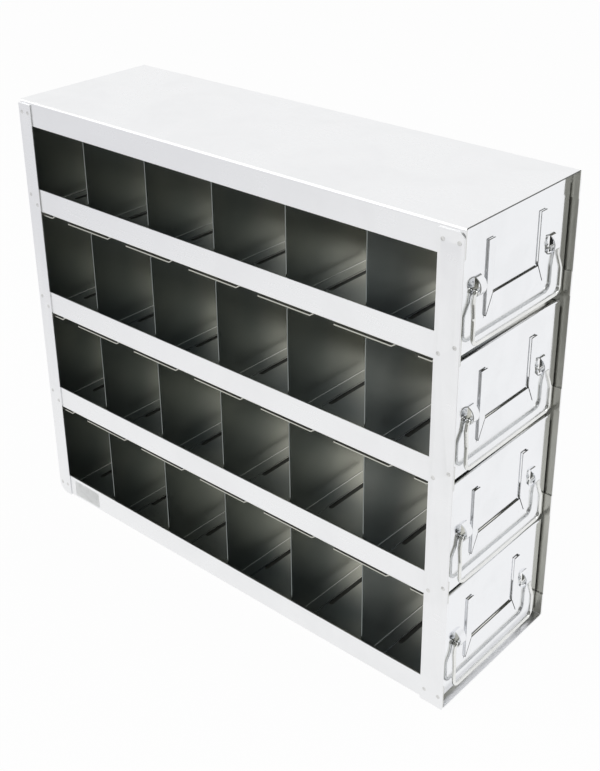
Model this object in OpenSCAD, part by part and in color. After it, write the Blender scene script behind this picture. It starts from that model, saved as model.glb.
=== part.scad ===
// Sheet-steel freezer rack with four sliding drawers, in millimetres.
// +X is the pull direction, +Y the far long side, +Z up, origin at the centre of the underside.

/* [Rack] */
// Length over the posts, front to rear
rack_l = 440; // [360:1:560]
// Width over the posts
rack_w = 140; // [120:1:180]
// Number of drawers, one above the other
drawer_count = 4; // [2:1:6]
// Height from one drawer's shelf to the next
row_pitch = 95; // [85:1:130]
// Thickness of the rack's sheet
rack_sheet = 1; // [0.8:0.1:1.4]
// Outer radius of the rack's folds
rack_fold_r = 2; // [1.8:0.1:3]
// Height of the side bands: flanges of the cover, the shelves and the base
band_h = 21; // [16:0.5:26]

/* [Posts] */
// Width of the front post strips
front_post_w = 20; // [15:0.5:26]
// Width of the rear post strips
rear_post_w = 15; // [12:0.5:22]
// Distance from the cover's top face down to the posts' top ends
post_drop = 3; // [2:0.5:6]
// Radius of the front posts' upper front corner
front_post_r = 5; // [2:0.5:10]
// Radius of the lower rear corner of posts and base
rear_corner_r = 10; // [4:0.5:14]

/* [Shelves] */
// Gap between the shelves' front ends and the lips of the drawer fronts
shelf_gap = 1; // [0.5:0.1:2]
// Length of one lanced skid
skid_l = 54; // [36:1:60]
// Width of one lanced skid
skid_w = 5; // [3:0.5:8]
// How far a skid hangs below the shelf
skid_drop = 2.8; // [2:0.1:4.8]
// Length of the ramp at a skid's front end
skid_ramp = 4; // [2:0.5:8]
// Slit between a skid and the shelf's side band
skid_slit = 0.3; // [0.2:0.1:1]

/* [Drawers] */
// Thickness of the drawers' sheet
drawer_sheet = 0.8; // [0.6:0.1:1.2]
// Outer radius of the drawers' folds
drawer_fold_r = 1.6; // [1.4:0.1:2.4]
// Side gap between a drawer and the side bands
side_gap = 1.2; // [0.6:0.1:2]
// Running gap between a drawer's floor and its shelf
slide_gap = 0.2; // [0.1:0.05:0.5]
// Setback of the drawer front behind the posts' front edges
front_setback = 5.6; // [5.6:0.1:9]
// Height of a drawer's side walls
wall_h = 18; // [10:0.5:20]
// Gap between the dividers' upper edges and the skids above
head_gap = 1; // [0.6:0.1:6]
// Gap between a tray's front end and the drawer front
floor_gap = 3; // [2:0.5:5]
// Number of compartments in a drawer
compartments = 6; // [4:1:7]
// Length of a divider's foot along the floor
foot_l = 10; // [6:0.5:14]
// Radius of the dividers' upper corners
divider_corner_r = 2.5; // [1:0.5:8]
// Gap between a divider and the side walls
divider_gap = 0.2; // [0.1:0.05:0.5]
// Width of the floor vent slots
vent_w = 4; // [2:0.5:5]
// Length of the floor vent slots
vent_l = 68; // [40:1:90]
// Distance from a divider's face to its vent slot's centre
vent_x = 12.5; // [10:0.5:20]

/* [Drawer fronts] */
// Height of the front's lower edge above the shelf
front_low = 3.2; // [2:0.1:6]
// Gap between the front's upper edge and the level of the shelf above
front_gap = 2; // [1:0.1:4]
// Length of the side returns behind the front
return_l = 12; // [8:0.5:13]
// Distance from the front's upper edge down to the side returns' upper ends
return_drop = 8.5; // [6:0.5:20]
// Length of the lip folded back along the front's upper edge
lip_l = 8; // [5:0.5:12]
// Distance of the lip's ends from the front's side faces
lip_gap = 4; // [3:0.5:10]
// Width of the label holder over its flaps
label_w = 70; // [50:1:74]
// Height of the label holder's lower edge above the shelf
label_low = 22.5; // [18:0.5:30]
// Height of the label holder's upper ends above the shelf
label_top = 76.5; // [60:0.5:80]
// Width of the label holder's side flaps
flap_w = 7; // [5:0.5:10]
// Height of the label holder's lower flap
flap_h = 14.5; // [8:0.5:18]
// Gap behind the flaps for the label card
card_gap = 0.5; // [0.3:0.1:1]
// Width of the mitre slits between the flaps
mitre_slit = 0.8; // [0.5:0.1:1.5]

/* [Bail handles] */
// Diameter of the handle wire
wire_d = 3; // [2.5:0.1:3.4]
// Distance from the drawer's middle to the middle of an ear
ear_y = 45; // [40:0.5:48]
// Width of an ear along the pivot
ear_w = 6.5; // [5:0.5:8]
// Height of an ear where it leaves the front
ear_h = 15; // [12:0.5:18]
// How far an ear stands out of the front
ear_out = 5.5; // [5:0.1:5.5]
// Height of the ears' middle above the shelf
ear_z = 48; // [44:0.5:54]
// Drop of the pivot below the ears' middle
pivot_drop = 2; // [1:0.1:2.2]
// Distance of the pivot in front of the drawer front
pivot_out = 2; // [1.8:0.1:2.2]
// Distance of the hanging grip bar in front of the drawer front
grip_out = 4; // [3:0.1:4]
// Distance from the pivot down to the grip bar
bail_l = 37; // [30:0.5:40]
// Half the width over the middle of the bail's legs at the grip
grip_half_w = 53.5; // [50:0.5:58]
// Bend radius of the grip's corners
grip_r = 6; // [4:0.5:9]
// Bend radius of the pivot elbows
elbow_r = 2.2; // [2:0.1:2.6]
// Bend radius of the legs' set-out
leg_r = 8; // [4:0.5:10]
// Height of the near-straight upper stretch of a leg
leg_upper = 8; // [6:0.5:11]
// Height of the sloping middle stretch of a leg
leg_slope = 10; // [8:0.5:12]
// How far a pivot pin passes through its ear
pin_past = 0.8; // [0.4:0.1:2]
// Side gap between an ear and the bail's leg
leg_gap = 0.5; // [0.3:0.1:1]
// How much the wire's radius swells where it is bent
bend_swell = 0.04; // [0.03:0.01:0.1]

/* [Hidden] */
$fn = 48;
eps = 0.01;
run_lap = 0.15;
sides = [-1, 1];
side_names = ["near", "far"];

rack_h = 2 * rack_sheet + drawer_count * row_pitch;
front_x = rack_l / 2;
rear_x = -rack_l / 2;
post_in = rack_w / 2 - rack_sheet;
leg_in = post_in - rack_sheet;
strap_x = rear_x + rack_sheet;
shelf_rear = strap_x + rack_sheet;

face_x = front_x - front_setback;
panel_back = face_x - drawer_sheet;
panel_half = leg_in - side_gap;
tray_half = panel_half - drawer_sheet;
tray_in = tray_half - drawer_sheet;
tray_rear = shelf_rear + side_gap;
tray_front = panel_back - floor_gap;
floor_top = slide_gap + drawer_sheet;
bay_front = panel_back;
bay_rear = tray_rear + drawer_sheet;
bay_l = (bay_front - bay_rear - (compartments - 1) * drawer_sheet) / compartments;
bay_pitch = bay_l + drawer_sheet;
divider_h = row_pitch - rack_sheet - skid_drop - head_gap;
front_top = row_pitch - front_gap;
return_top = front_top - return_drop;
lip_half = panel_half - lip_gap;
shelf_front = face_x - lip_l - shelf_gap;

ear_r = (pow(ear_h / 2, 2) + pow(ear_out, 2)) / (2 * ear_out);
ear_x = face_x + ear_out - ear_r;
ear_bore_r = ear_r - drawer_sheet;
pivot_x = face_x + pivot_out;
pivot_z = ear_z - pivot_drop;
elbow_y = ear_y + ear_w / 2 + leg_gap + wire_d / 2;
pin_end_y = ear_y - ear_w / 2 - pin_past;

function shelf_z(k) = rack_sheet + (drawer_count - k) * row_pitch;
function divider_x(i) = bay_front - i * bay_pitch;

// Draws a flat YZ outline as a plate of thickness t whose rear face lies at x
module plate_x(x, t) {
    translate([x, 0, 0]) rotate([90, 0, 90]) linear_extrude(t) children();
}

// Draws a flat XZ outline as a bar from y0 to y1
module bar_y(y0, y1) {
    translate([0, y1, 0]) rotate([90, 0, 0]) linear_extrude(y1 - y0) children();
}

// Rectangle whose two lower corners are round
module trough_2d(w, h, r) {
    translate([-w / 2, r]) square([w, h - r]);
    translate([r - w / 2, 0]) square([w - 2 * r, h]);
    for (s = sides) translate([s * (w / 2 - r), r]) circle(r);
}

// Section of a folded channel, open upwards
module channel_2d(w, h, t, r) {
    difference() {
        trough_2d(w, h, r);
        translate([0, t]) trough_2d(w - 2 * t, h, r - t);
    }
}

// Section of a folded angle with its corner at the origin, legs along +x and +y
module angle_2d(w, h, t, r) {
    difference() {
        union() {
            translate([r, 0]) square([w - r, h]);
            translate([0, r]) square([w, h - r]);
            translate([r, r]) circle(r);
        }
        translate([r, t]) square([w, h]);
        translate([t, r]) square([w, h]);
        translate([r, r]) circle(r - t);
    }
}

// Rectangle with its lower left corner round
module lower_left_round_2d(w, h, r) {
    translate([r, 0]) square([w - r, h]);
    translate([0, r]) square([w, h - r]);
    intersection() {
        translate([r, r]) circle(r);
        square([r, r]);
    }
}

// One straight length of wire from a to b
module wire_run(a, b) {
    d = b - a;
    turn = atan2(d.y, d.x);
    tilt = acos(d.z / norm(d));
    translate(a) rotate([0, tilt, turn]) cylinder(d = wire_d, h = norm(d));
}

function unit(v) = v / norm(v);
function turn_at(p) = acos(unit(p[1] - p[0]) * unit(p[2] - p[1]));
function set_back(p, r) = r * tan(turn_at(p) / 2);

// Round bend of the wire at the middle one of three points
module wire_bend(p, r) {
    d1 = unit(p[1] - p[0]);
    d2 = unit(p[2] - p[1]);
    n = unit(d2 - (d1 * d2) * d1);
    c = p[1] - set_back(p, r) * d1 + r * n;
    w = cross(-n, d1);
    multmatrix([
        [-n.x, d1.x, w.x, c.x],
        [-n.y, d1.y, w.y, c.y],
        [-n.z, d1.z, w.z, c.z],
        [0, 0, 0, 1]
    ])
        rotate_extrude(angle = turn_at(p)) translate([r, 0]) circle(wire_d / 2 + bend_swell);
}

// Wire through all points, with a bend radius at each inner point; runs reach a little into the bends
module wire(points, radii) {
    last = len(points) - 1;
    trim = [for (i = [0:last])
        i == 0 || i == last ? 0 : set_back([points[i - 1], points[i], points[i + 1]], radii[i]) - run_lap];
    for (i = [0:last - 1]) {
        d = unit(points[i + 1] - points[i]);
        wire_run(points[i] + trim[i] * d, points[i + 1] - trim[i + 1] * d);
    }
    for (i = [1:last - 1]) wire_bend([points[i - 1], points[i], points[i + 1]], radii[i]);
}

// Rack

module top_cover() {
    color("#eef0f4") {
        translate([0, 0, rack_h]) mirror([0, 0, 1])
            plate_x(rear_x + rack_fold_r, rack_l - rack_fold_r)
            channel_2d(2 * post_in, band_h, rack_sheet, rack_fold_r);
        translate([rear_x, 0, rack_h]) mirror([0, 0, 1])
            bar_y(rack_fold_r - post_in, post_in - rack_fold_r)
            angle_2d(2 * rack_fold_r, band_h, rack_sheet, rack_fold_r);
    }
}

module base_pan() {
    color("#e4e6e9") intersection() {
        plate_x(rear_x, rack_l) channel_2d(2 * post_in, band_h, rack_sheet, rack_fold_r);
        bar_y(-rack_w / 2, rack_w / 2) translate([rear_x, 0])
            lower_left_round_2d(rack_l, band_h, rear_corner_r);
    }
}

module front_post(s) {
    post_h = rack_h - post_drop;
    y0 = s < 0 ? -rack_w / 2 : post_in;
    color("#eceef0") bar_y(y0, y0 + rack_sheet) translate([front_x, post_h])
        rotate(180) lower_left_round_2d(front_post_w, post_h, front_post_r);
}

module rear_post(s) {
    y0 = s < 0 ? -rack_w / 2 : post_in;
    color("#e2e4e6") bar_y(y0, y0 + rack_sheet) translate([rear_x, 0])
        lower_left_round_2d(rear_post_w, rack_h - post_drop, rear_corner_r);
}

// Side view of a skid: a tongue of sheet with a free rear end that hangs from a ramp at its front
module skid_2d(l) {
    under = [[0, -skid_drop], [l - skid_ramp, -skid_drop], [l, 0]];
    over = [for (i = [len(under) - 1:-1:0]) under[i] + [0, rack_sheet]];
    polygon(concat(under, over));
}

// Lengths of shelf that are lanced: one over every divider and half ones at both ends
skid_half = skid_l / 2;
skid_spans = concat(
    [[bay_front - skid_half, shelf_front - skid_ramp]],
    [for (i = [1:compartments - 1])
        [divider_x(i) - drawer_sheet / 2 - skid_half, divider_x(i) - drawer_sheet / 2 + skid_half]],
    [[bay_rear, bay_rear + skid_half]]
);

module shelf(k) {
    skid_out = leg_in - skid_slit;
    color("#e8eaec") translate([0, 0, shelf_z(k) - rack_sheet]) {
        difference() {
            plate_x(shelf_rear, front_x - shelf_rear)
                channel_2d(2 * post_in, band_h, rack_sheet, rack_fold_r);
            for (s = sides, span = skid_spans)
                on_side(s) translate([span[0], skid_out - skid_w, -eps])
                cube([span[1] - span[0], skid_w + skid_slit, rack_sheet + 2 * eps]);
            translate([shelf_front, -post_in - eps, -eps])
                cube([front_x - shelf_front + eps, 2 * (post_in + eps), rack_fold_r + eps]);
        }
        for (s = sides, span = skid_spans)
            on_side(s) bar_y(skid_out - skid_w, skid_out) translate([span[0], 0])
            skid_2d(span[1] - span[0]);
    }
}

// Keeps a far-side piece or mirrors it to the near side
module on_side(s) {
    if (s < 0) mirror([0, 1, 0]) children();
    else children();
}

module rear_strap(k) {
    on_base = k == drawer_count;
    half = on_base ? leg_in : post_in;
    z0 = on_base ? rear_corner_r : shelf_z(k) - rack_sheet;
    z1 = shelf_z(k) - rack_sheet + band_h;
    color("#d8dadc") translate([strap_x, -half, z0]) cube([rack_sheet, 2 * half, z1 - z0]);
}

// Drawers

module vent_slot() {
    half = (vent_l - vent_w) / 2;
    for (s = sides) translate([0, s * half, -eps]) cylinder(d = vent_w, h = floor_top + 2 * eps);
    translate([-vent_w / 2, -half, -eps]) cube([vent_w, 2 * half, floor_top + 2 * eps]);
}

// Outline of a divider or rear wall above its fold
module divider_2d(half_low, half_high, shoulder, low) {
    translate([-half_low, low]) square([2 * half_low, shoulder - low + eps]);
    translate([0, divider_h]) mirror([0, 1])
        trough_2d(2 * half_high, divider_h - shoulder, divider_corner_r);
}

module drawer_tray(k) {
    color("#8f9190") translate([0, 0, shelf_z(k)]) {
        difference() {
            union() {
                translate([0, 0, slide_gap])
                    plate_x(tray_rear + drawer_fold_r, tray_front - tray_rear - drawer_fold_r)
                    channel_2d(2 * tray_half, wall_h - slide_gap, drawer_sheet, drawer_fold_r);
                translate([tray_rear, 0, slide_gap])
                    bar_y(drawer_fold_r - tray_half, tray_half - drawer_fold_r)
                    angle_2d(2 * drawer_fold_r, wall_h - slide_gap, drawer_sheet, drawer_fold_r);
            }
            for (i = [1:compartments]) translate([divider_x(i) + vent_x, 0, 0]) vent_slot();
        }
        plate_x(tray_rear, drawer_sheet)
            divider_2d(tray_half - drawer_fold_r, tray_half, wall_h, wall_h - drawer_fold_r);
    }
}

module drawer_divider(k, i) {
    color("#9a9c9b") translate([divider_x(i) - drawer_sheet, 0, shelf_z(k) + floor_top]) {
        plate_x(0, drawer_sheet) translate([0, -floor_top])
            divider_2d(tray_in - divider_gap, tray_half, wall_h + divider_gap, floor_top + drawer_fold_r);
        bar_y(drawer_fold_r - tray_in, tray_in - drawer_fold_r)
            angle_2d(foot_l + drawer_sheet, 2 * drawer_fold_r, drawer_sheet, drawer_fold_r);
    }
}

// Outline of the label holder: two side flaps and a lower flap
module label_flaps_2d() {
    difference() {
        translate([-label_w / 2, label_low]) square([label_w, label_top - label_low]);
        translate([flap_w - label_w / 2, label_low + flap_h])
            square([label_w - 2 * flap_w, label_top - label_low]);
        for (s = sides) mitre_2d(s);
    }
}

// Slit from the label holder's lower corner to the inner corner of its flaps
module mitre_2d(s) {
    turn = atan2(flap_h, flap_w);
    translate([s * label_w / 2, label_low]) rotate(s < 0 ? turn : 180 - turn)
        translate([-mitre_slit, -mitre_slit / 2]) square([norm([flap_w, flap_h]) + 2 * mitre_slit, mitre_slit]);
}

// The flaps' outer edges, where they step out of the front
module label_step_2d() {
    intersection() {
        label_flaps_2d();
        union() {
            for (s = sides)
                translate([s * (label_w - drawer_sheet) / 2 - drawer_sheet / 2, label_low])
                square([drawer_sheet, label_top - label_low]);
            translate([-label_w / 2, label_low]) square([label_w, drawer_sheet]);
        }
    }
}

// Cylinder along Y through both ears
module ear_rod(r, w) {
    for (s = sides) translate([ear_x, s * ear_y - w / 2, ear_z]) rotate([-90, 0, 0]) cylinder(r = r, h = w);
}

module drawer_front(k) {
    reach = drawer_sheet + return_l;
    color("#f0f1f3") translate([0, 0, shelf_z(k)]) {
        difference() {
            translate([face_x, 0, front_low]) linear_extrude(front_top - front_low) rotate(90)
                channel_2d(2 * panel_half, reach, drawer_sheet, drawer_fold_r);
            translate([face_x - reach - eps, -panel_half - eps, return_top])
                cube([return_l + eps, 2 * (panel_half + eps), front_top]);
            translate([face_x - reach - eps, -lip_half, front_top - 2 * drawer_fold_r])
                cube([reach + 2 * eps, 2 * lip_half, front_top]);
            plate_x(panel_back - eps, drawer_sheet + 2 * eps) difference() {
                label_flaps_2d();
                label_step_2d();
            }
            ear_rod(ear_bore_r, ear_w);
        }
        bar_y(-lip_half, lip_half) translate([face_x, front_top]) rotate(180)
            angle_2d(lip_l, 2 * drawer_fold_r, drawer_sheet, drawer_fold_r);
        plate_x(face_x + card_gap, drawer_sheet) label_flaps_2d();
        plate_x(face_x - eps, card_gap + 2 * eps) label_step_2d();
        intersection() {
            difference() {
                ear_rod(ear_r, ear_w);
                ear_rod(ear_bore_r, ear_w + 2 * eps);
            }
            translate([panel_back, -panel_half, front_low])
                cube([front_setback + drawer_sheet, 2 * panel_half, front_top - front_low]);
        }
    }
}

module drawer_handle(k) {
    set_out = grip_out - pivot_out;
    leg_y = elbow_y + (grip_half_w - elbow_y) * leg_upper / (leg_upper + leg_slope);
    half = [
        [0, pin_end_y, 0],
        [0, elbow_y, 0],
        [0, leg_y, -leg_upper],
        [set_out, grip_half_w, -leg_upper - leg_slope],
        [set_out, grip_half_w, -bail_l]
    ];
    radii = [0, elbow_r, leg_r, leg_r, grip_r];
    back = [len(half) - 1:-1:0];
    points = concat(half, [for (i = back) [half[i].x, -half[i].y, half[i].z]]);
    color("#dfe1e3") translate([pivot_x, 0, shelf_z(k) + pivot_z])
        wire(points, concat(radii, [for (i = back) radii[i]]));
}

top_cover();
base_pan();
for (i = [0, 1]) {
    front_post(sides[i]);
    rear_post(sides[i]);
}
for (k = [1:drawer_count - 1])
    shelf(k);
for (k = [1:drawer_count]) {
    rear_strap(k);
    drawer_tray(k);
    drawer_front(k);
    drawer_handle(k);
    for (i = [1:compartments - 1])
        drawer_divider(k, i);
}
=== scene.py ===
"""Looks of a sheet-steel freezer rack with four sliding drawers: finishes, spot-welded posts and studio."""

import math
from functools import partial, reduce

import bpy
from bpy.props import FloatProperty, FloatVectorProperty, PointerProperty
from mathutils import Matrix, Vector


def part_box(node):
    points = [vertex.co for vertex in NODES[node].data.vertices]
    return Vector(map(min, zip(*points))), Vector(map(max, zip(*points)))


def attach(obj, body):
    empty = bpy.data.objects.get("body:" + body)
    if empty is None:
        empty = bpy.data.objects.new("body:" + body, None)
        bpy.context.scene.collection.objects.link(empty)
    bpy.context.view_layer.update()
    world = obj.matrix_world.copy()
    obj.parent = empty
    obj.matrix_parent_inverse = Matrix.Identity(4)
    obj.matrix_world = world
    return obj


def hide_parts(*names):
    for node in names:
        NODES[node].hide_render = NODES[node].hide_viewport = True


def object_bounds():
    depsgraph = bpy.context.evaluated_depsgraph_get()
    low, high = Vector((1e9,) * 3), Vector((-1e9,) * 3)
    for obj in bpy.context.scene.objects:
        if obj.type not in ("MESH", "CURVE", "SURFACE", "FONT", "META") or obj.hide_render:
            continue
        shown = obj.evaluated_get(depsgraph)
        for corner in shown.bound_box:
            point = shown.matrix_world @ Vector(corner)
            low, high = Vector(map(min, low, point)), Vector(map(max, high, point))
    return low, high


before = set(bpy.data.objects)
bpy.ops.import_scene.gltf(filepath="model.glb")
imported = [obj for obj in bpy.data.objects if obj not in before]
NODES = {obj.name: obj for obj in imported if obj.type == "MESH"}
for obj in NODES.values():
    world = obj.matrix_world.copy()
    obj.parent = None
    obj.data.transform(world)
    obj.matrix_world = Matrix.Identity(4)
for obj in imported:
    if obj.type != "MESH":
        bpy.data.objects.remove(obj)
CAD_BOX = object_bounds()

bl_info = {
    "name": "Freezer drawer rack looks",
    "version": (1, 0, 0),
    "blender": (4, 5, 0),
    "location": "View3D > Sidebar > Freezer rack",
    "description": "Dresses a sheet-steel freezer rack with its finishes, weld marks and studio",
    "category": "Object",
}

MM = 0.001
DRAWERS = sorted({name.split("_")[1] for name in NODES if name.startswith("drawer_")})
SIDES = ("near", "far")
WHITE = (1, 1, 1)
SENSOR_WIDTH = 36


# Settings

class RackFinish(bpy.types.PropertyGroup):
    """Colours of the rack's steels and its blank sticker; several of them are painted shade and painted
    light.
    """

    sheet_colour: FloatVectorProperty(
        name="Sheet", description="Bright outer faces of the folded sheets",
        subtype="COLOR", default=(0.875, 0.88, 0.89), min=0, max=1)
    # Inner faces: a duller mill finish, darkened further by painted shade
    mill_and_shade_colour: FloatVectorProperty(
        name="Mill finish and shade", description="Duller inner faces of the folded sheets",
        subtype="COLOR", default=(0.53, 0.53, 0.48), min=0, max=1)
    # Near-black painted shade on the cover's front end and the label holders' cuts, standing for the shadow
    # and gaps there
    gap_shade_colour: FloatVectorProperty(
        name="Painted gap shade", description="Sheared front end of the cover and sheared edges of the label holders",
        subtype="COLOR", default=(0.1, 0.1, 0.095), min=0, max=1)
    # Painted light towards the far side and painted shade towards the near side of trays and dividers; floors
    # are painted lighter than walls far off
    far_wall_light_colour: FloatVectorProperty(
        name="Far walls", description="Walls of trays and dividers towards the far side",
        subtype="COLOR", default=(0.525, 0.532, 0.485), min=0, max=1)
    near_wall_shade_colour: FloatVectorProperty(
        name="Near walls", description="Walls of trays and dividers towards the near side",
        subtype="COLOR", default=(0.178, 0.199, 0.196), min=0, max=1)
    far_floor_light_colour: FloatVectorProperty(
        name="Far floors", description="Tray floors and divider feet towards the far side",
        subtype="COLOR", default=(0.8, 0.79, 0.73), min=0, max=1)
    near_floor_shade_colour: FloatVectorProperty(
        name="Near floors", description="Tray floors and divider feet towards the near side",
        subtype="COLOR", default=(0.17, 0.19, 0.205), min=0, max=1)
    # Painted shade on the shelf and base floors under the drawers
    shelf_shade_colour: FloatVectorProperty(
        name="Shelf floors", description="Greasy dark shelf floors under the drawers",
        subtype="COLOR", default=(0.08, 0.08, 0.075), min=0, max=1)
    front_colour: FloatVectorProperty(
        name="Front", description="Mirror-bright drawer fronts",
        subtype="COLOR", default=(0.87, 0.88, 0.9), min=0, max=1)
    wire_colour: FloatVectorProperty(
        name="Wire", description="Drawn wire of the bails",
        subtype="COLOR", default=(0.82, 0.825, 0.81), min=0, max=1)
    weld_colour: FloatVectorProperty(
        name="Weld marks", description="Heat-dulled bottoms of the weld marks",
        subtype="COLOR", default=(0.74, 0.74, 0.73), min=0, max=1)
    paper_colour: FloatVectorProperty(
        name="Blank sticker", description="Bare sticker on the base flange",
        subtype="COLOR", default=(0.86, 0.87, 0.87), min=0, max=1)


class SheetSizes(bpy.types.PropertyGroup):
    """Sizes of the folded sheets that part their bright outer faces from the inner ones, which are duller and
    darkened by painted shade.
    """

    sheet: FloatProperty(
        name="Sheet", description="Thickness of the rack's sheet", default=1 * MM, min=0, unit="LENGTH")
    # The sill stays bright; the floor behind it, under the drawers, takes painted shade
    sill: FloatProperty(
        name="Sill", description="Length of the base's floor that shows in front of the drawers",
        default=14 * MM, min=0, unit="LENGTH")


class PostSizes(bpy.types.PropertyGroup):
    """Sizes of the post strips that the solids leave plain."""

    front_corner: FloatProperty(
        name="Front corner", description="Radius of the front posts' upper front corner",
        default=5 * MM, min=0, unit="LENGTH")
    rear_corner: FloatProperty(
        name="Rear corner", description="Radius of the rear posts' lower rear corner",
        default=10 * MM, min=0, unit="LENGTH")
    edge: FloatProperty(
        name="Edge", description="Width of the broken edge all round a post",
        default=0.15 * MM, min=0, unit="LENGTH")
    # Beyond this skin a post takes the inner colour, a mill finish with painted shade
    bright_skin: FloatProperty(
        name="Bright skin", description="Depth of a post's bright finish from its outer face",
        default=0.95 * MM, min=0, unit="LENGTH")
    weld_width: FloatProperty(
        name="Weld width", description="Diameter of a spot-weld mark",
        default=3.4 * MM, min=0, unit="LENGTH")
    weld_depth: FloatProperty(
        name="Weld depth", description="Depth of a spot-weld mark",
        default=0.2 * MM, min=0, unit="LENGTH")
    weld_inset: FloatProperty(
        name="Weld inset", description="Distance of a weld mark from the post's long edge",
        default=3.8 * MM, min=0, unit="LENGTH")
    weld_stagger: FloatProperty(
        name="Weld stagger", description="Height of the outer weld mark above the inner one on a shelf",
        default=8 * MM, min=0, unit="LENGTH")


class DrawerSizes(bpy.types.PropertyGroup):
    """Lines at which the drawers' painted shade on the near side gives way to painted light on the far side,
    and the height of their floors.
    """

    near_line: FloatProperty(
        name="Near line", description="Distance from the middle at which the dark near half ends",
        default=-35 * MM, unit="LENGTH")
    far_line: FloatProperty(
        name="Far line", description="Distance from the middle at which the light far half begins",
        default=30 * MM, unit="LENGTH")
    floor_height: FloatProperty(
        name="Floor height", description="Height over a tray's underside that floor and feet stay below",
        default=1.8 * MM, min=0, unit="LENGTH")


class LabelSizes(bpy.types.PropertyGroup):
    """Sizes of the label holder, whose side edges are dull and whose upper edges and mitre slits are painted
    dark as shade.
    """

    width: FloatProperty(
        name="Width", description="Width of the label holder over its flaps",
        default=70 * MM, min=0, unit="LENGTH")
    flap: FloatProperty(
        name="Flap", description="Width of the label holder's side flaps",
        default=7 * MM, min=0, unit="LENGTH")
    low: FloatProperty(
        name="Low", description="Height of the label holder's lower edge above the shelf",
        default=22.5 * MM, min=0, unit="LENGTH")
    top: FloatProperty(
        name="Top", description="Height of the side flaps' upper ends above the shelf",
        default=76.5 * MM, min=0, unit="LENGTH")
    lower_flap: FloatProperty(
        name="Lower flap", description="Height of the label holder's lower flap",
        default=14.5 * MM, min=0, unit="LENGTH")
    slit: FloatProperty(
        name="Slit", description="Width of the mitre slits between the flaps",
        default=0.8 * MM, min=0, unit="LENGTH")
    edge: FloatProperty(
        name="Edge", description="How far a flap's sheared edge reaches to each side of its line",
        default=0.1 * MM, min=0, unit="LENGTH")
    behind_ears: FloatProperty(
        name="Behind ears", description="Distance of the flaps' rear behind the ears' tops",
        default=5.3 * MM, min=0, unit="LENGTH")


class StickerSizes(bpy.types.PropertyGroup):
    """Size and place of the blank sticker on the near base flange."""

    length: FloatProperty(
        name="Length", description="Length of the sticker", default=33 * MM, min=0, unit="LENGTH")
    height: FloatProperty(
        name="Height", description="Height of the sticker", default=15 * MM, min=0, unit="LENGTH")
    from_rear: FloatProperty(
        name="From rear", description="Distance from the rack's rear to the sticker's rear edge",
        default=22 * MM, min=0, unit="LENGTH")
    corner: FloatProperty(
        name="Corner", description="Corner radius of the sticker", default=1.2 * MM, min=0, unit="LENGTH")
    thickness: FloatProperty(
        name="Thickness", description="Thickness of the sticker", default=0.12 * MM, min=0, unit="LENGTH")


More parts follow.
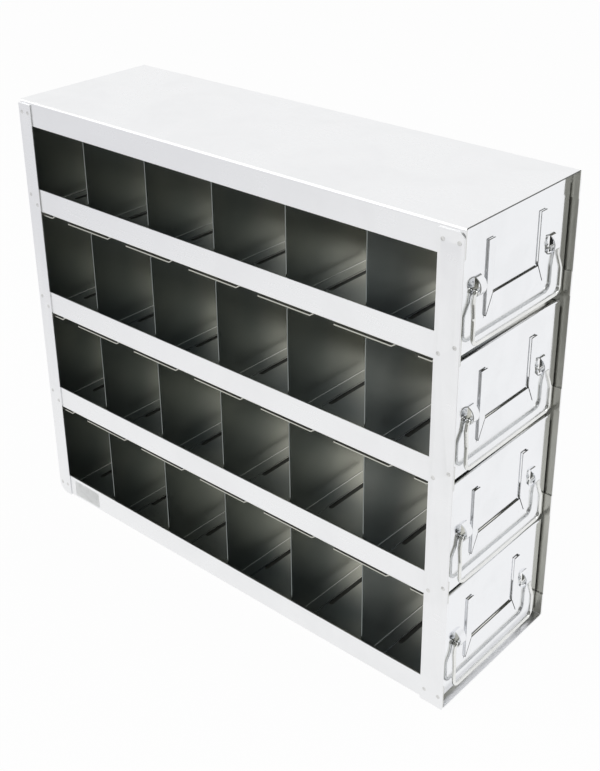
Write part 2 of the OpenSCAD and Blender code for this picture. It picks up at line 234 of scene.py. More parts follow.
class StudioSetup(bpy.types.PropertyGroup):
    """Standpoint, lens, lamps, floor and room."""

    standpoint: FloatVectorProperty(
        name="Standpoint", description="Where the camera stands", subtype="XYZ", unit="LENGTH",
        default=(0.600, -0.650, 0.665))
    azimuth: FloatProperty(
        name="Azimuth", description="Turn of the camera from looking along +Y",
        default=math.radians(41.55), subtype="ANGLE")
    elevation: FloatProperty(
        name="Elevation", description="How far the camera looks down",
        default=math.radians(25.29), subtype="ANGLE")
    roll: FloatProperty(
        name="Roll", description="Turn of the camera about its own axis",
        default=math.radians(-0.69), subtype="ANGLE")
    lens: FloatProperty(
        name="Lens", description="Focal length in millimetres on a 36 mm sensor",
        default=57.4, min=1)
    rise: FloatProperty(
        name="Lens shift", description="Vertical shift as a share of the picture's long side",
        default=-0.12)
    key: FloatProperty(
        name="Key lamp", description="Power of the large soft lamp", default=26, min=0, unit="POWER")
    key_place: FloatVectorProperty(
        name="Key place", description="Where the large soft lamp hangs", subtype="XYZ", unit="LENGTH",
        default=(-0.9, -1.5, 1.9))
    key_size: FloatProperty(
        name="Key size", description="Side of the large soft lamp", default=2.8, min=0, unit="LENGTH")
    fill: FloatProperty(
        name="Fill lamp", description="Power of the lamp on the front's side",
        default=9, min=0, unit="POWER")
    fill_place: FloatVectorProperty(
        name="Fill place", description="Where the lamp on the front's side hangs",
        subtype="XYZ", unit="LENGTH", default=(1.8, 0.6, 1.4))
    fill_size: FloatProperty(
        name="Fill size", description="Side of the lamp on the front's side",
        default=1.2, min=0, unit="LENGTH")
    floor: FloatProperty(
        name="Floor", description="Side of the floor", default=12, min=1, unit="LENGTH")
    paint_colour: FloatVectorProperty(
        name="Floor paint", description="Matt white of the floor, which takes the shadow",
        subtype="COLOR", default=(0.9, 0.9, 0.9), min=0, max=1)
    glow: FloatProperty(
        name="Floor glow", description="Share of the seen floor that shines by itself",
        subtype="FACTOR", default=0.965, min=0, max=1)
    rear_colour: FloatVectorProperty(
        name="Rear floor", description="Floor far behind the rack as reflections show it",
        subtype="COLOR", default=(0.84, 0.84, 0.86), min=0, max=1)
    rear_start: FloatProperty(
        name="Rear start", description="Where along the rack the reflected floor begins to darken",
        default=-0.2, unit="LENGTH")
    rear_end: FloatProperty(
        name="Rear end", description="Where along the rack the reflected floor is as dark as it gets",
        default=-0.9, unit="LENGTH")
    patch_colour: FloatVectorProperty(
        name="Patch", description="Floor under the standpoint as reflections show it",
        subtype="COLOR", default=(0.2, 0.2, 0.18), min=0, max=1)
    patch_rim: FloatProperty(
        name="Patch rim", description="Radius at which the dark patch begins",
        default=0.6, min=0, unit="LENGTH")
    patch_core: FloatProperty(
        name="Patch core", description="Radius within which the patch is fully dark",
        default=0.3, min=0, unit="LENGTH")
    ambient: FloatProperty(
        name="Ambient", description="Strength of the room's light on matt surfaces", default=0.45, min=0)
    room_colour: FloatVectorProperty(
        name="Room", description="Room behind the camera as reflections show it",
        subtype="COLOR", default=(0.2, 0.2, 0.192), min=0, max=1)
    room_rim: FloatProperty(
        name="Room rim", description="Angle from the standpoint's direction at which the room darkens",
        default=math.acos(0.05), min=0, subtype="ANGLE")
    room_core: FloatProperty(
        name="Room core", description="Angle from the standpoint's direction within which it is dark",
        default=math.acos(0.6), min=0, subtype="ANGLE")


# Modelling helpers

def deselect_all():
    """Leaves nothing selected, so that the next operator acts on its own piece alone."""
    bpy.ops.object.select_all(action="DESELECT")


def make_active(piece):
    """Selects one piece alone and makes it active."""
    deselect_all()
    piece.select_set(True)
    bpy.context.view_layer.objects.active = piece


def settle(piece, name):
    """Names a piece and puts its place, turn and scale into its mesh."""
    make_active(piece)
    bpy.ops.object.transform_apply(location=True, rotation=True, scale=True)
    piece.name = name
    piece.data.name = name


def add_block(name, centre, size):
    """Adds a rectangular block as the start of a piece."""
    deselect_all()
    bpy.ops.mesh.primitive_cube_add(size=1, location=centre, scale=size)
    block = bpy.context.object
    settle(block, name)
    return block


def open_edges(piece, wanted):
    """Opens a piece in edit mode with the edges selected whose two ends pass the test."""
    make_active(piece)
    bpy.context.tool_settings.mesh_select_mode = (False, True, False)
    mesh = piece.data
    for group in (mesh.vertices, mesh.edges, mesh.polygons):
        group.foreach_set("select", [False] * len(group))
    for edge in mesh.edges:
        first, second = (mesh.vertices[i].co for i in edge.vertices)
        edge.select = wanted(first, second)
    bpy.ops.object.mode_set(mode="EDIT")


def bevel_edges(piece, wanted, width, steps):
    """Bevels the edges that pass the test."""
    open_edges(piece, wanted)
    bpy.ops.mesh.bevel(offset=width, segments=steps, affect="EDGES")
    bpy.ops.object.mode_set(mode="OBJECT")


def smooth(piece, angle):
    """Shades a piece smooth up to an angle between faces."""
    make_active(piece)
    bpy.ops.object.shade_smooth_by_angle(angle=angle)


def close_to(a, b):
    """Whether two lengths are the same for selection."""
    return abs(a - b) < 0.01 * MM


# The frame's drawers

def tray_undersides():
    """Heights of the trays' undersides, the lowest first."""
    return sorted(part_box(f"drawer_{k}_tray")[0].z for k in DRAWERS)


def drawer_pitch():
    """Height from one drawer to the next."""
    lowest, second = tray_undersides()[:2]
    return second - lowest


# Shader helpers

# Sockets of a Mix node that mixes colours, whose names are not unique
MIX_LOW, MIX_HIGH, MIX_RESULT = 6, 7, 2


def feed(tree, socket, source):
    """Links a source to a socket, or sets the socket where the source is a plain value."""
    if isinstance(source, bpy.types.NodeSocket):
        tree.links.new(source, socket)
    else:
        socket.default_value = source


def add(tree, kind, inputs=None, **attributes):
    """Adds a node, sets its attributes and feeds its inputs."""
    made = tree.nodes.new(kind)
    for name, value in attributes.items():
        setattr(made, name, value)
    for name, source in (inputs or {}).items():
        feed(tree, made.inputs[name], source)
    return made


def math_node(tree, operation, first, second=0.0):
    """Adds a Math node on two sources or numbers."""
    return add(tree, "ShaderNodeMath", {0: first, 1: second}, operation=operation).outputs["Value"]


def largest(tree, *masks):
    """Joins masks into one that holds wherever one of them does."""
    return reduce(partial(math_node, tree, "MAXIMUM"), masks)


def axes(tree, vector):
    """Parts a vector into its three numbers."""
    parts = add(tree, "ShaderNodeSeparateXYZ", {"Vector": vector}).outputs
    return parts["X"], parts["Y"], parts["Z"]


def noise(tree, vector, scale, values):
    """Adds a noise and returns its value."""
    inputs = {"Vector": vector, "Scale": scale, **values}
    return add(tree, "ShaderNodeTexNoise", inputs).outputs[0]


def fade(tree, source, start, end):
    """Softly maps the stretch from start to end to 0..1."""
    inputs = {"Value": source, "From Min": start, "From Max": end}
    return add(tree, "ShaderNodeMapRange", inputs, interpolation_type="SMOOTHSTEP").outputs["Result"]


def spread(tree, mask, low, high):
    """Maps a mask from 0..1 to a range of values."""
    inputs = {"Value": mask, "To Min": low, "To Max": high}
    return add(tree, "ShaderNodeMapRange", inputs).outputs["Result"]


def opaque(colour):
    """Gives a plain colour its alpha and leaves a source as it is."""
    return colour if isinstance(colour, bpy.types.NodeSocket) else (*colour, 1.0)


def mix_colours(tree, mask, low, high):
    """Mixes two colours or sources by a mask."""
    inputs = {"Factor": mask, MIX_LOW: opaque(low), MIX_HIGH: opaque(high)}
    return add(tree, "ShaderNodeMix", inputs, data_type="RGBA").outputs[MIX_RESULT]


def mix_shaders(tree, share, first, second):
    """Mixes two shaders, the second by its share."""
    inputs = {"Fac": share, 1: first.outputs[0], 2: second.outputs[0]}
    return add(tree, "ShaderNodeMixShader", inputs).outputs["Shader"]


def new_group(name, inputs, outputs):
    """Starts a node group that takes a Vector and more, and returns it with its inner ends."""
    group = bpy.data.node_groups.new(name, "ShaderNodeTree")
    for label, value in {"Vector": (0, 0, 0), **inputs}.items():
        kind = "NodeSocketVector" if isinstance(value, tuple) else "NodeSocketFloat"
        group.interface.new_socket(label, in_out="INPUT", socket_type=kind).default_value = value
    for label in outputs:
        group.interface.new_socket(label, in_out="OUTPUT", socket_type="NodeSocketFloat")
    return group, group.nodes.new("NodeGroupInput").outputs, group.nodes.new("NodeGroupOutput").inputs


def group_node(tree, name, vector, values):
    """Places a node group with its own values and returns its outputs."""
    made = add(tree, "ShaderNodeGroup", node_tree=bpy.data.node_groups[name])
    for label, source in {"Vector": vector, **values}.items():
        feed(tree, made.inputs[label], source)
    return made.outputs


# Shared effects

def rolled_grain_group():
    """Fine streaks that the rolling of the sheet leaves, longer along one axis."""
    group, given, made = new_group("Rolled grain", {"Cycles": (60, 2400, 2400)}, ["Grain"])
    stretch = add(group, "ShaderNodeVectorMath", {0: given["Vector"], 1: given["Cycles"]},
                  operation="MULTIPLY").outputs["Vector"]
    streaks = noise(group, stretch, 1.0, {"Detail": 3.0, "Roughness": 0.6})
    feed(group, made["Grain"], streaks)


def sheet_wave_group():
    """Slow hollows and swells of thin sheet between its folds and welds."""
    group, given, made = new_group("Sheet waves", {"Per metre": 14.0}, ["Height"])
    waves = noise(group, given["Vector"], given["Per metre"], {"Detail": 1.0, "Roughness": 0.4})
    feed(group, made["Height"], waves)


def handling_marks_group():
    """Soft smudges and wipe marks, broken up by a finer cloud."""
    group, given, made = new_group(
        "Handling marks", {"Per metre": 22.0, "Finer": 7.0, "Strength": 1.6}, ["Mask"])
    patches = noise(group, given["Vector"], given["Per metre"],
                    {"Detail": 4.0, "Roughness": 0.55, "Distortion": 0.6})
    finer = math_node(group, "MULTIPLY", given["Per metre"], given["Finer"])
    cloud = noise(group, given["Vector"], finer, {"Detail": 3.0, "Roughness": 0.65})
    broken = math_node(group, "MULTIPLY", fade(group, patches, start=0.42, end=0.68), cloud)
    feed(group, made["Mask"], math_node(group, "MULTIPLY", broken, given["Strength"]))


def mill_cloud_group():
    """Broad soft clouds of a plain mill surface."""
    group, given, made = new_group("Mill clouds", {"Per metre": 12.0}, ["Mask"])
    clouds = noise(group, given["Vector"], given["Per metre"],
                   {"Detail": 1.5, "Roughness": 0.4, "Distortion": 0.3})
    feed(group, made["Mask"], fade(group, clouds, start=0.3, end=0.7))


def outer_face_group():
    """Masks of the rack's outer faces, brighter than the inner ones, which carry painted shade, and of the
    cover's front end, which is painted near-black as the shade under its edge.
    """
    low, high = CAD_BOX
    group, given, made = new_group(
        "Outer faces",
        {"Half width": high.y, "Rear": low.x, "Front": high.x, "Top": high.z,
         "Sheet": MM, "Sill": 0.0, "Sliver": 0.02 * MM},
        ["Mask", "Cut"])
    calc = partial(math_node, group)
    x, y, z = axes(group, given["Vector"])
    half_sheet = calc("MULTIPLY", given["Sheet"], 0.5)
    side = calc("GREATER_THAN", calc("ABSOLUTE", y), given["Half width"])
    rear = calc("LESS_THAN", x, calc("ADD", given["Rear"], given["Sheet"]))
    top = calc("GREATER_THAN", z, calc("SUBTRACT", given["Top"], half_sheet))
    under = calc("LESS_THAN", z, half_sheet)
    floor = calc("LESS_THAN", z, calc("ADD", given["Sheet"], half_sheet))
    ahead = calc("GREATER_THAN", x, calc("SUBTRACT", given["Front"], given["Sill"]))
    sill = calc("MULTIPLY", floor, ahead)
    feed(group, made["Mask"], largest(group, side, rear, top, under, sill))
    # The cover's front end, painted near-black as the shade under the cover's edge
    front_end = calc("GREATER_THAN", x, calc("SUBTRACT", given["Front"], given["Sliver"]))
    cover = calc("GREATER_THAN", z, calc("SUBTRACT", given["Top"], given["Sheet"]))
    feed(group, made["Cut"], calc("MULTIPLY", front_end, cover))


def mitre_slit(group, given, across, height):
    """Mask of the slits from the label holder's lower corners to the inner corners of its flaps, where shade
    is painted.
    """
    calc = partial(math_node, group)
    flap = calc("SUBTRACT", given["Outer"], given["Inner"])
    run = calc("SUBTRACT", given["Outer"], across)
    rise = calc("SUBTRACT", height, given["Low"])
    area = calc("SUBTRACT", calc("MULTIPLY", run, given["Lower flap"]), calc("MULTIPLY", rise, flap))
    squares = calc("ADD", calc("POWER", flap, 2.0), calc("POWER", given["Lower flap"], 2.0))
    off_line = calc("DIVIDE", calc("ABSOLUTE", area), calc("SQRT", squares))
    half_slit = calc("MULTIPLY", given["Slit"], 0.5)
    begun = calc("GREATER_THAN", calc("ADD", run, half_slit), 0.0)
    ended = calc("LESS_THAN", run, flap)
    return calc("MULTIPLY", calc("LESS_THAN", off_line, half_slit), calc("MULTIPLY", begun, ended))


def flap_edge_group():
    """Masks of the label holder's cuts: soft side edges, and painted shade on the upper edges and in the
    mitre slits.
    """
    numbers = ("Face", "Outer", "Inner", "Low", "Top", "Lower flap", "Slit", "Width", "Lowest", "Pitch")
    group, given, made = new_group("Flap edges", dict.fromkeys(numbers, 0.0), ["Soft", "Painted shade"])
    calc = partial(math_node, group)
    x, y, z = axes(group, given["Vector"])
    across = calc("ABSOLUTE", y)
    height = calc("FLOORED_MODULO", calc("SUBTRACT", z, given["Lowest"]), given["Pitch"])
    proud = calc("GREATER_THAN", x, given["Face"])

    def edge(value, line):
        """Mask of a flap's edge along a line."""
        away = calc("ABSOLUTE", calc("SUBTRACT", value, line))
        return calc("MULTIPLY", calc("LESS_THAN", away, given["Width"]), proud)

    sides = largest(group, edge(across, given["Outer"]), edge(across, given["Inner"]))
    upper_ends = edge(height, given["Top"])
    lower_line = edge(height, calc("ADD", given["Low"], given["Lower flap"]))
    between = calc("LESS_THAN", across, given["Inner"])
    lower_flap = calc("MULTIPLY", lower_line, between)
    slit = mitre_slit(group, given, across, height)
    feed(group, made["Soft"], sides)
    feed(group, made["Painted shade"], largest(group, upper_ends, lower_flap, slit))


def floor_level_group():
    """Mask of what lies low over each floor of the stack."""
    group, given, made = new_group("Floor level", {"Lowest": 0.0, "Pitch": 1.0, "Height": 0.0}, ["Mask"])
    z = axes(group, given["Vector"])[2]
    above = math_node(group, "SUBTRACT", z, given["Lowest"])
    in_row = math_node(group, "FLOORED_MODULO", above, given["Pitch"])
    feed(group, made["Mask"], math_node(group, "LESS_THAN", in_row, given["Height"]))


def far_light_group():
    """Mask that grows from the drawers' near half, painted with shade, to their far half, painted with light.
    """
    group, given, made = new_group("Far light", {"Near": 0.0, "Far": 1.0}, ["Mask"])
    y = axes(group, given["Vector"])[1]
    feed(group, made["Mask"], fade(group, y, given["Near"], given["Far"]))


def make_groups():
    """Builds each shared effect once."""
    rolled_grain_group()
    sheet_wave_group()
    handling_marks_group()
    mill_cloud_group()
    floor_level_group()
    far_light_group()
    flap_edge_group()
    outer_face_group()


# Materials

def blank_metal(name):
    """Starts a metal with a Principled shader and returns the material, tree, shader inputs and place."""
    material = bpy.data.materials.new(name)
    material.use_nodes = True
    tree = material.node_tree
    shader = tree.nodes["Principled BSDF"].inputs
    shader["Metallic"].default_value = 1.0
    return material, tree, shader, add(tree, "ShaderNodeTexCoord").outputs["Object"]


def marked(tree, marks, colour, share):
    """A colour that the marks darken to a share of itself."""
    return mix_colours(tree, marks, colour, Vector(colour) * share)


def worn_gloss(tree, marks, grain, clean, dull, streaks):
    """Roughness that goes from clean to dull with the marks and is streaked by the grain."""
    return math_node(tree, "ADD", spread(tree, marks, clean, dull), spread(tree, grain, -streaks, streaks))


def relief(tree, shader, *layers):
    """Feeds the shader's normal from heights laid over each other, each with its depth."""
    below = {}
    for height, depth in layers:
        inputs = {"Height": height, "Strength": 1.0, "Distance": depth, **below}
        below = {"Normal": add(tree, "ShaderNodeBump", inputs).outputs["Normal"]}
    feed(tree, shader["Normal"], below["Normal"])


def sheet_steel(name, finish, limits, levels=None):
    """Folded rack sheet: bright outside, duller inside with painted shade, and painted near-black shade on
    its cut front and on the floors under the drawers at its levels.
    """
    material, tree, shader, place = blank_metal(name)
    faces = group_node(tree, "Outer faces", place, limits)
    grain = group_node(tree, "Rolled grain", place, {"Cycles": (45, 2200, 2200)})["Grain"]
    marks = group_node(tree, "Handling marks", place, {"Per metre": 16.0})["Mask"]
    waves = group_node(tree, "Sheet waves", place, {"Per metre": 9.0})["Height"]
    # Inner faces: mill finish darkened by painted shade
    inside = finish.mill_and_shade_colour
    # The floors under the drawers take painted shade
    if levels:
        floors = group_node(tree, "Floor level", place, levels)["Mask"]
        inside = mix_colours(tree, floors, inside, finish.shelf_shade_colour)
    outside = marked(tree, marks, finish.sheet_colour, share=0.975)
    skin = mix_colours(tree, faces["Mask"], inside, outside)
    feed(tree, shader["Base Color"], mix_colours(tree, faces["Cut"], skin, finish.gap_shade_colour))
    gloss = worn_gloss(tree, marks, grain, clean=0.28, dull=0.32, streaks=0.03)
    duller_inside = spread(tree, faces["Mask"], low=0.06, high=0.0)
    feed(tree, shader["Roughness"], math_node(tree, "ADD", gloss, duller_inside))
    relief(tree, shader, (waves, 0.25 * MM), (grain, 0.002 * MM))
    return material


def drawer_steel(name, finish, sizes, cycles):
    """Thin drawer sheet with a cloudy mill surface, painted shade towards the near side and painted light
    towards the far side, and smoother floors.
    """
    material, tree, shader, place = blank_metal(name)
    grain = group_node(tree, "Rolled grain", place, {"Cycles": cycles})["Grain"]
    clouds = group_node(tree, "Mill clouds", place, {"Per metre": 14.0})["Mask"]
    waves = group_node(tree, "Sheet waves", place, {"Per metre": 12.0})["Height"]
    levels = {"Lowest": tray_undersides()[0], "Pitch": drawer_pitch(), "Height": sizes.floor_height}
    floor = group_node(tree, "Floor level", place, levels)["Mask"]
    far = group_node(tree, "Far light", place, {"Near": sizes.near_line, "Far": sizes.far_line})["Mask"]
    # Painted light grows towards the far side; the mill clouds add a little random tone
    from_side = spread(tree, far, low=0.0, high=0.8)
    from_clouds = spread(tree, clouds, low=0.2, high=0.0)
    light = math_node(tree, "ADD", from_side, from_clouds)
    walls = mix_colours(tree, light, finish.near_wall_shade_colour, finish.far_wall_light_colour)
    floors = mix_colours(tree, light, finish.near_floor_shade_colour, finish.far_floor_light_colour)
    feed(tree, shader["Base Color"], mix_colours(tree, floor, walls, floors))
    cloudy = spread(tree, clouds, low=0.285, high=0.335)
    smoother_floor = spread(tree, floor, low=0.0, high=-0.08)
    feed(tree, shader["Roughness"], math_node(tree, "ADD", cloudy, smoother_floor))
    relief(tree, shader, (waves, 0.4 * MM), (grain, 0.002 * MM))
    return material


def front_steel(name, finish, limits):
    """Mirror-bright drawer front with the faintest grain across it, dull flap side edges, and painted shade
    on its flaps' upper edges and mitre slits.
    """
    material, tree, shader, place = blank_metal(name)
    edges = group_node(tree, "Flap edges", place, limits)
    grain = group_node(tree, "Rolled grain", place, {"Cycles": (2600, 50, 2600)})["Grain"]
    marks = group_node(tree, "Handling marks", place, {"Per metre": 26.0})["Mask"]
    waves = group_node(tree, "Sheet waves", place, {"Per metre": 18.0})["Height"]
    bright = marked(tree, marks, finish.front_colour, share=0.97)
    # Painted shade on the flaps' upper edges and in the mitre slits
    feed(tree, shader["Base Color"], mix_colours(tree, edges["Painted shade"], bright, finish.gap_shade_colour))
    gloss = worn_gloss(tree, marks, grain, clean=0.09, dull=0.15, streaks=0.02)
    dull_edges = spread(tree, largest(tree, edges["Soft"], edges["Painted shade"]), low=0.0, high=0.45)
    feed(tree, shader["Roughness"], math_node(tree, "ADD", gloss, dull_edges))
    relief(tree, shader, (waves, 0.12 * MM), (grain, 0.001 * MM))
    return material


def wire_steel(name, finish):
    """Drawn wire with fine die lines and wipe marks."""
    material, tree, shader, place = blank_metal(name)
    grain = group_node(tree, "Rolled grain", place, {"Cycles": (2000, 300, 300)})["Grain"]
    marks = group_node(tree, "Handling marks", place, {"Per metre": 60.0})["Mask"]
    feed(tree, shader["Base Color"], marked(tree, marks, finish.wire_colour, share=0.93))
    feed(tree, shader["Roughness"], worn_gloss(tree, marks, grain, clean=0.12, dull=0.24, streaks=0.03))
    relief(tree, shader, (grain, 0.003 * MM))
    return material


def weld_steel(name, finish):
    """Pressed bottom of a spot weld, dulled and speckled by heat."""
    material, tree, shader, place = blank_metal(name)
    marks = group_node(tree, "Handling marks", place, {"Per metre": 500.0})["Mask"]
    feed(tree, shader["Base Color"], marked(tree, marks, finish.weld_colour, share=0.7))
    feed(tree, shader["Roughness"], spread(tree, marks, low=0.3, high=0.5))
    relief(tree, shader, (marks, 0.05 * MM))
    return material


def sticker_paper(name, finish):
    """Bare matt paper, slightly creased and greyed by handling."""
    material, tree, shader, place = blank_metal(name)
    shader["Metallic"].default_value = 0.0
    marks = group_node(tree, "Handling marks", place, {"Per metre": 90.0})["Mask"]
    waves = group_node(tree, "Sheet waves", place, {"Per metre": 160.0})["Height"]
    feed(tree, shader["Base Color"], marked(tree, marks, finish.paper_colour, share=0.9))
    feed(tree, shader["Roughness"], spread(tree, marks, low=0.5, high=0.7))
    relief(tree, shader, (waves, 0.1 * MM))
    return material


def dress(names, material):
    """Gives CAD nodes one material."""
    for name in names:
        slots = NODES[name].data.materials
        slots.clear()
        slots.append(material)


# Operators

class FREEZER_RACK_OT_sheets(bpy.types.Operator):
    """Finish the cover, base, shelves and rear straps"""

    bl_idname = "freezer_rack.sheets"
    bl_label = "Finish rack sheets"

    def execute(self, context):
        finish = context.scene.rack_finish
        sizes = context.scene.rack_sheets
        shelves = [n for n in NODES if n == "base_pan" or n.startswith("shelf_")]
        outside = [n for n in NODES if n == "top_cover" or n.startswith("rear_strap_")]
        if not shelves or not outside:
            raise RuntimeError("the frame has no rack sheets")
        flange_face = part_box("top_cover")[1].y
        limits = {"Half width": flange_face - sizes.sheet / 2, "Sheet": sizes.sheet, "Sill": sizes.sill}
        # A thin skin on the floors under the drawers takes painted shade
        skin = sizes.sheet / 10
        floor_top = CAD_BOX[0].z + sizes.sheet
        levels = {"Lowest": floor_top - skin / 2, "Pitch": drawer_pitch(), "Height": skin}
        dress(outside, sheet_steel("rack_sheet", finish, limits))
        dress(shelves, sheet_steel("shelf_sheet", finish, limits, levels))
        return {"FINISHED"}


class FREEZER_RACK_OT_posts(bpy.types.Operator):
    """Model the four post strips with their spot-weld marks"""

    bl_idname = "freezer_rack.posts"
    bl_label = "Model posts"

    corner_steps = 10
    edge_steps = 2
    ball_divisions = 5
    smooth_angle = math.radians(18)

    def weld_places(self, end, low, high, sizes):
        """Centres of the weld marks on a post, two at each band that it crosses."""
        inner, outer = (low.x, high.x) if end == "front" else (high.x, low.x)
        step = math.copysign(sizes.weld_inset, outer - inner)
        cover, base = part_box("top_cover"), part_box("base_pan")
        shelves = [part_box(name) for name in NODES if name.startswith("shelf_")]
        half_band = (base[1].z - base[0].z) / 2
        heights = [(cover[1].z - half_band, 0.0), (base[0].z + half_band, 0.0)]
        heights += [(shelf[1].z - half_band, sizes.weld_stagger / 2) for shelf in shelves]
        places = []
        for z, stagger in heights:
            places.append((inner + step, z - stagger))
            places.append((outer - step, z + stagger))
        return places

    def weld_cutter(self, places, face, out, sizes, material):
        """One mesh of shallow balls that press the weld marks into a face."""
        radius = ((sizes.weld_width / 2) ** 2 + sizes.weld_depth ** 2) / (2 * sizes.weld_depth)
        balls = []
        for x, z in places:
            deselect_all()
            centre = (x, face + out * (radius - sizes.weld_depth), z)
            bpy.ops.mesh.primitive_ico_sphere_add(
                subdivisions=self.ball_divisions, radius=radius, location=centre)
            balls.append(bpy.context.object)
        make_active(balls[0])
        for ball in balls:
            ball.select_set(True)
        bpy.ops.object.join()
        settle(balls[0], "weld_cutter")
        balls[0].data.materials.append(material)
        return balls[0]

    def strip(self, name, low, high, end, sizes):
        """A flat strip with one round corner and broken edges."""
        post = add_block(name, (low + high) / 2, high - low)
        x, z = (high.x, high.z) if end == "front" else (low.x, low.z)
        radius = sizes.front_corner if end == "front" else sizes.rear_corner

        def at_corner(point):
            """Whether a point lies on the edge that is rounded."""
            return close_to(point.x, x) and close_to(point.z, z)

        bevel_edges(post, lambda a, b: at_corner(a) and at_corner(b), radius, self.corner_steps)
        bevel_edges(post, lambda a, b: close_to(a.y, b.y), sizes.edge, self.edge_steps)
        return post

    def press_welds(self, post, cutter):
        """Presses the weld marks into a post and removes their cutter."""
        make_active(post)
        press = post.modifiers.new("weld_marks", "BOOLEAN")
        press.operation = "DIFFERENCE"
        press.solver = "EXACT"
        press.material_mode = "TRANSFER"
        press.object = cutter
        bpy.ops.object.modifier_apply(modifier=press.name)
        bpy.data.objects.remove(cutter)

    def execute(self, context):
        sizes = context.scene.rack_posts
        sheet = context.scene.rack_sheets.sheet
        finish = context.scene.rack_finish
        weld = weld_steel("weld_mark", finish)
        for end in ("front", "rear"):
            for side, out in zip(SIDES, (-1, 1)):
                node = f"{end}_post_{side}"
                low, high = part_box(node)
                face = low.y if out < 0 else high.y
                # The post's inner face takes the mill colour with its painted shade
                limits = {"Half width": abs(face) - sizes.bright_skin, "Sheet": sheet}
                post = self.strip(f"{node}_welded", low, high, end, sizes)
                post.data.materials.append(sheet_steel(f"{node}_steel", finish, limits))
                places = self.weld_places(end, low, high, sizes)
                self.press_welds(post, self.weld_cutter(places, face, out, sizes, weld))
                smooth(post, self.smooth_angle)
                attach(post, "rack")
                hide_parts(node)
        return {"FINISHED"}


class FREEZER_RACK_OT_drawers(bpy.types.Operator):
    """Finish the trays and dividers"""
    # Finish the trays and dividers, with painted shade on the near side and painted light on the far side

    bl_idname = "freezer_rack.drawers"
    bl_label = "Finish drawers"

    def execute(self, context):
        finish = context.scene.rack_finish
        sizes = context.scene.rack_drawers
        trays = [n for n in NODES if n.endswith("_tray")]
        dividers = [n for n in NODES if "_divider_" in n]
        if not trays or not dividers:
            raise RuntimeError("the frame has no drawers")
        dress(trays, drawer_steel("tray_sheet", finish, sizes, cycles=(45, 2200, 2200)))
        dress(dividers, drawer_steel("divider_sheet", finish, sizes, cycles=(2200, 45, 2200)))
        return {"FINISHED"}


class FREEZER_RACK_OT_fronts(bpy.types.Operator):
    """Finish the drawer fronts"""

    bl_idname = "freezer_rack.fronts"
    bl_label = "Finish drawer fronts"

    def flap_limits(self, label, sheets):
        """Where the label holder's edges lie."""
        outer = label.width / 2
        return {
            "Face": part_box("drawer_1_front")[1].x - label.behind_ears,
            "Outer": outer, "Inner": outer - label.flap,
            "Low": label.low, "Top": label.top, "Lower flap": label.lower_flap,
            "Slit": label.slit, "Width": label.edge,
            "Lowest": CAD_BOX[0].z + sheets.sheet, "Pitch": drawer_pitch(),
        }

    def execute(self, context):
        scene = context.scene
        limits = self.flap_limits(scene.rack_label, scene.rack_sheets)
        dress([f"drawer_{k}_front" for k in DRAWERS], front_steel("bright_front", scene.rack_finish, limits))
        return {"FINISHED"}


class FREEZER_RACK_OT_bails(bpy.types.Operator):
    """Finish the wire bails"""

    bl_idname = "freezer_rack.bails"
    bl_label = "Finish bails"

    def execute(self, context):
        dress([f"drawer_{k}_handle" for k in DRAWERS], wire_steel("drawn_wire", context.scene.rack_finish))
        return {"FINISHED"}


class FREEZER_RACK_OT_sticker(bpy.types.Operator):
    """Model the blank sticker on the near base flange"""

    bl_idname = "freezer_rack.sticker"
    bl_label = "Model blank sticker"

    corner_steps = 5
    smooth_angle = math.radians(30)

    def execute(self, context):
        sizes = context.scene.rack_sticker
        low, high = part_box("base_pan")
        size = Vector((sizes.length, sizes.thickness, sizes.height))
        centre = Vector((low.x + sizes.from_rear + sizes.length / 2,
                         low.y - sizes.thickness / 2, (low.z + high.z) / 2))
        sticker = add_block("blank_sticker", centre, size)
        bevel_edges(sticker, lambda a, b: not close_to(a.y, b.y), sizes.corner, self.corner_steps)
        smooth(sticker, self.smooth_angle)
        sticker.data.materials.append(sticker_paper("sticker_paper", context.scene.rack_finish))
        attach(sticker, "rack")
        return {"FINISHED"}


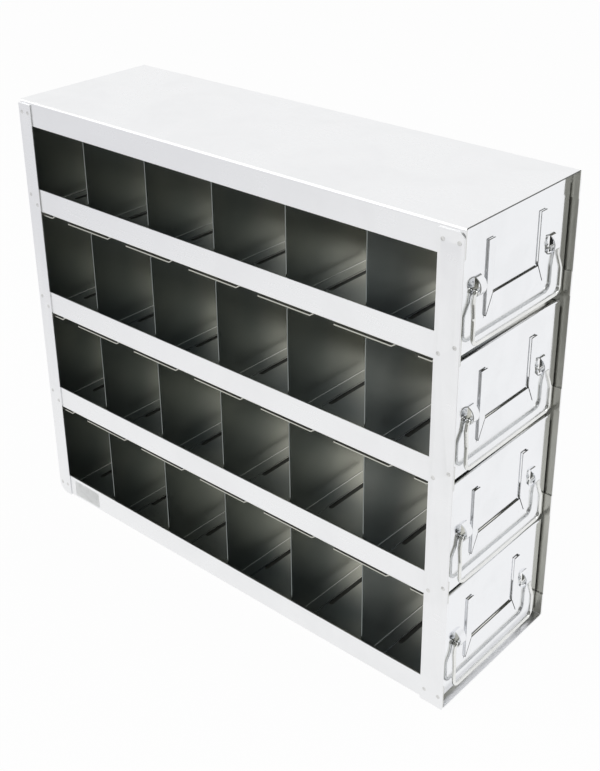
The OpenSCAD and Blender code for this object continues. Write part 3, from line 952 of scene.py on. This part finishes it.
class FREEZER_RACK_OT_studio(bpy.types.Operator):
    """Set the floor, lamps, world and camera"""

    bl_idname = "freezer_rack.studio"
    bl_label = "Set studio"

    def ray_masks(self, tree):
        """Masks of the glossy rays, and of all rays that show the background."""
        rays = add(tree, "ShaderNodeLightPath").outputs
        glossy = rays["Is Glossy Ray"]
        return glossy, largest(tree, rays["Is Camera Ray"], glossy, rays["Is Transmission Ray"])

    def floor_colour(self, tree, studio, glossy):
        """White; in reflections greyer far behind the rack and dark under the standpoint."""
        place = add(tree, "ShaderNodeTexCoord").outputs["Object"]
        behind = fade(tree, axes(tree, place)[0], studio.rear_start, studio.rear_end)
        graded = mix_colours(tree, math_node(tree, "MULTIPLY", behind, glossy), WHITE, studio.rear_colour)
        foot = (*studio.standpoint[:2], CAD_BOX[0].z)
        away = add(tree, "ShaderNodeVectorMath", {0: place, 1: foot}, operation="DISTANCE").outputs["Value"]
        below = fade(tree, away, studio.patch_rim, studio.patch_core)
        return mix_colours(tree, math_node(tree, "MULTIPLY", below, glossy), graded, studio.patch_colour)

    def white_floor(self, studio):
        """White floor that keeps a soft shadow."""
        deselect_all()
        bpy.ops.mesh.primitive_plane_add(size=studio.floor, location=(0, 0, CAD_BOX[0].z))
        floor = bpy.context.object
        settle(floor, "studio_floor")
        material = bpy.data.materials.new("studio_floor")
        material.use_nodes = True
        tree = material.node_tree
        tree.nodes.clear()
        glossy, shown = self.ray_masks(tree)
        matt = add(tree, "ShaderNodeBsdfDiffuse", {"Color": opaque(studio.paint_colour)})
        white = add(tree, "ShaderNodeEmission",
                    {"Color": self.floor_colour(tree, studio, glossy), "Strength": 1.0})
        blend = mix_shaders(tree, math_node(tree, "MULTIPLY", shown, studio.glow), matt, white)
        add(tree, "ShaderNodeOutputMaterial", {"Surface": blend})
        floor.data.materials.append(material)

    def room(self, studio):
        """White room, darker behind the camera as reflections show it."""
        world = bpy.data.worlds.new("studio_room")
        bpy.context.scene.world = world
        world.use_nodes = True
        tree = world.node_tree
        tree.nodes.clear()
        glossy, shown = self.ray_masks(tree)
        direction = add(tree, "ShaderNodeTexCoord").outputs["Generated"]
        aim = (Vector(studio.standpoint) - (CAD_BOX[0] + CAD_BOX[1]) / 2).normalized()
        towards = add(tree, "ShaderNodeVectorMath", {0: direction, 1: aim}, operation="DOT_PRODUCT")
        dark = fade(tree, towards.outputs["Value"], math.cos(studio.room_rim), math.cos(studio.room_core))
        colour = mix_colours(tree, math_node(tree, "MULTIPLY", dark, glossy), WHITE, studio.room_colour)
        light = add(tree, "ShaderNodeBackground", {"Color": opaque(WHITE), "Strength": studio.ambient})
        seen = add(tree, "ShaderNodeBackground", {"Color": colour, "Strength": 1.0})
        add(tree, "ShaderNodeOutputWorld", {"Surface": mix_shaders(tree, shown, light, seen)})

    def lamp(self, name, place, size, power):
        """A square soft lamp that looks at the rack's middle."""
        deselect_all()
        bpy.ops.object.light_add(type="AREA", location=place)
        lamp = bpy.context.object
        lamp.name = name
        lamp.data.size = size
        lamp.data.energy = power
        aim = (CAD_BOX[0] + CAD_BOX[1]) / 2 - Vector(place)
        lamp.rotation_euler = aim.to_track_quat("-Z", "Y").to_euler()

    def camera(self, studio):
        """The photograph's standpoint with a slightly lowered lens."""
        deselect_all()
        bpy.ops.object.camera_add(location=studio.standpoint)
        camera = bpy.context.object
        camera.name = "studio_camera"
        az, el = studio.azimuth, studio.elevation
        ahead = Vector((-math.sin(az) * math.cos(el), math.cos(az) * math.cos(el), -math.sin(el)))
        right = Vector((math.cos(az), math.sin(az), 0))
        turn = Matrix((right, right.cross(ahead), -ahead)).transposed()
        camera.rotation_euler = (turn @ Matrix.Rotation(studio.roll, 3, "Z")).to_euler()
        camera.data.sensor_width = SENSOR_WIDTH
        camera.data.lens = studio.lens
        camera.data.shift_y = studio.rise
        bpy.context.scene.camera = camera

    def execute(self, context):
        studio = context.scene.rack_studio
        context.scene.view_settings.view_transform = "Standard"
        self.white_floor(studio)
        self.room(studio)
        self.lamp("key_lamp", studio.key_place, studio.key_size, studio.key)
        self.lamp("fill_lamp", studio.fill_place, studio.fill_size, studio.fill)
        self.camera(studio)
        return {"FINISHED"}


class FREEZER_RACK_PT_looks(bpy.types.Panel):
    """Lists the rack's steps and settings"""

    bl_label = "Freezer rack"
    bl_idname = "FREEZER_RACK_PT_looks"
    bl_space_type = "VIEW_3D"
    bl_region_type = "UI"
    bl_category = "Freezer rack"

    def draw(self, context):
        for operator in OPERATORS:
            self.layout.operator(operator.bl_idname)
        for name in SETTINGS:
            box = self.layout.box()
            group = getattr(context.scene, name)
            for field in group.bl_rna.properties:
                if field.identifier not in ("rna_type", "name"):
                    box.prop(group, field.identifier)


OPERATORS = (
    FREEZER_RACK_OT_studio,
    FREEZER_RACK_OT_sheets,
    FREEZER_RACK_OT_posts,
    FREEZER_RACK_OT_drawers,
    FREEZER_RACK_OT_fronts,
    FREEZER_RACK_OT_bails,
    FREEZER_RACK_OT_sticker,
)
SETTINGS = {
    "rack_finish": RackFinish,
    "rack_sheets": SheetSizes,
    "rack_posts": PostSizes,
    "rack_drawers": DrawerSizes,
    "rack_label": LabelSizes,
    "rack_sticker": StickerSizes,
    "rack_studio": StudioSetup,
}
CLASSES = (*SETTINGS.values(), *OPERATORS, FREEZER_RACK_PT_looks)


def register():
    """Registers the classes and hangs the settings on the scene."""
    for item in CLASSES:
        bpy.utils.register_class(item)
    for name, kind in SETTINGS.items():
        setattr(bpy.types.Scene, name, PointerProperty(type=kind))


def unregister():
    """Takes the settings and classes away again."""
    for name in SETTINGS:
        delattr(bpy.types.Scene, name)
    for item in reversed(CLASSES):
        bpy.utils.unregister_class(item)


def main():
    """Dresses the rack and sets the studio."""
    register()
    make_groups()
    bpy.ops.freezer_rack.studio()
    bpy.ops.freezer_rack.sheets()
    bpy.ops.freezer_rack.posts()
    bpy.ops.freezer_rack.drawers()
    bpy.ops.freezer_rack.fronts()
    bpy.ops.freezer_rack.bails()
    bpy.ops.freezer_rack.sticker()


if __name__ == "__main__":
    main()
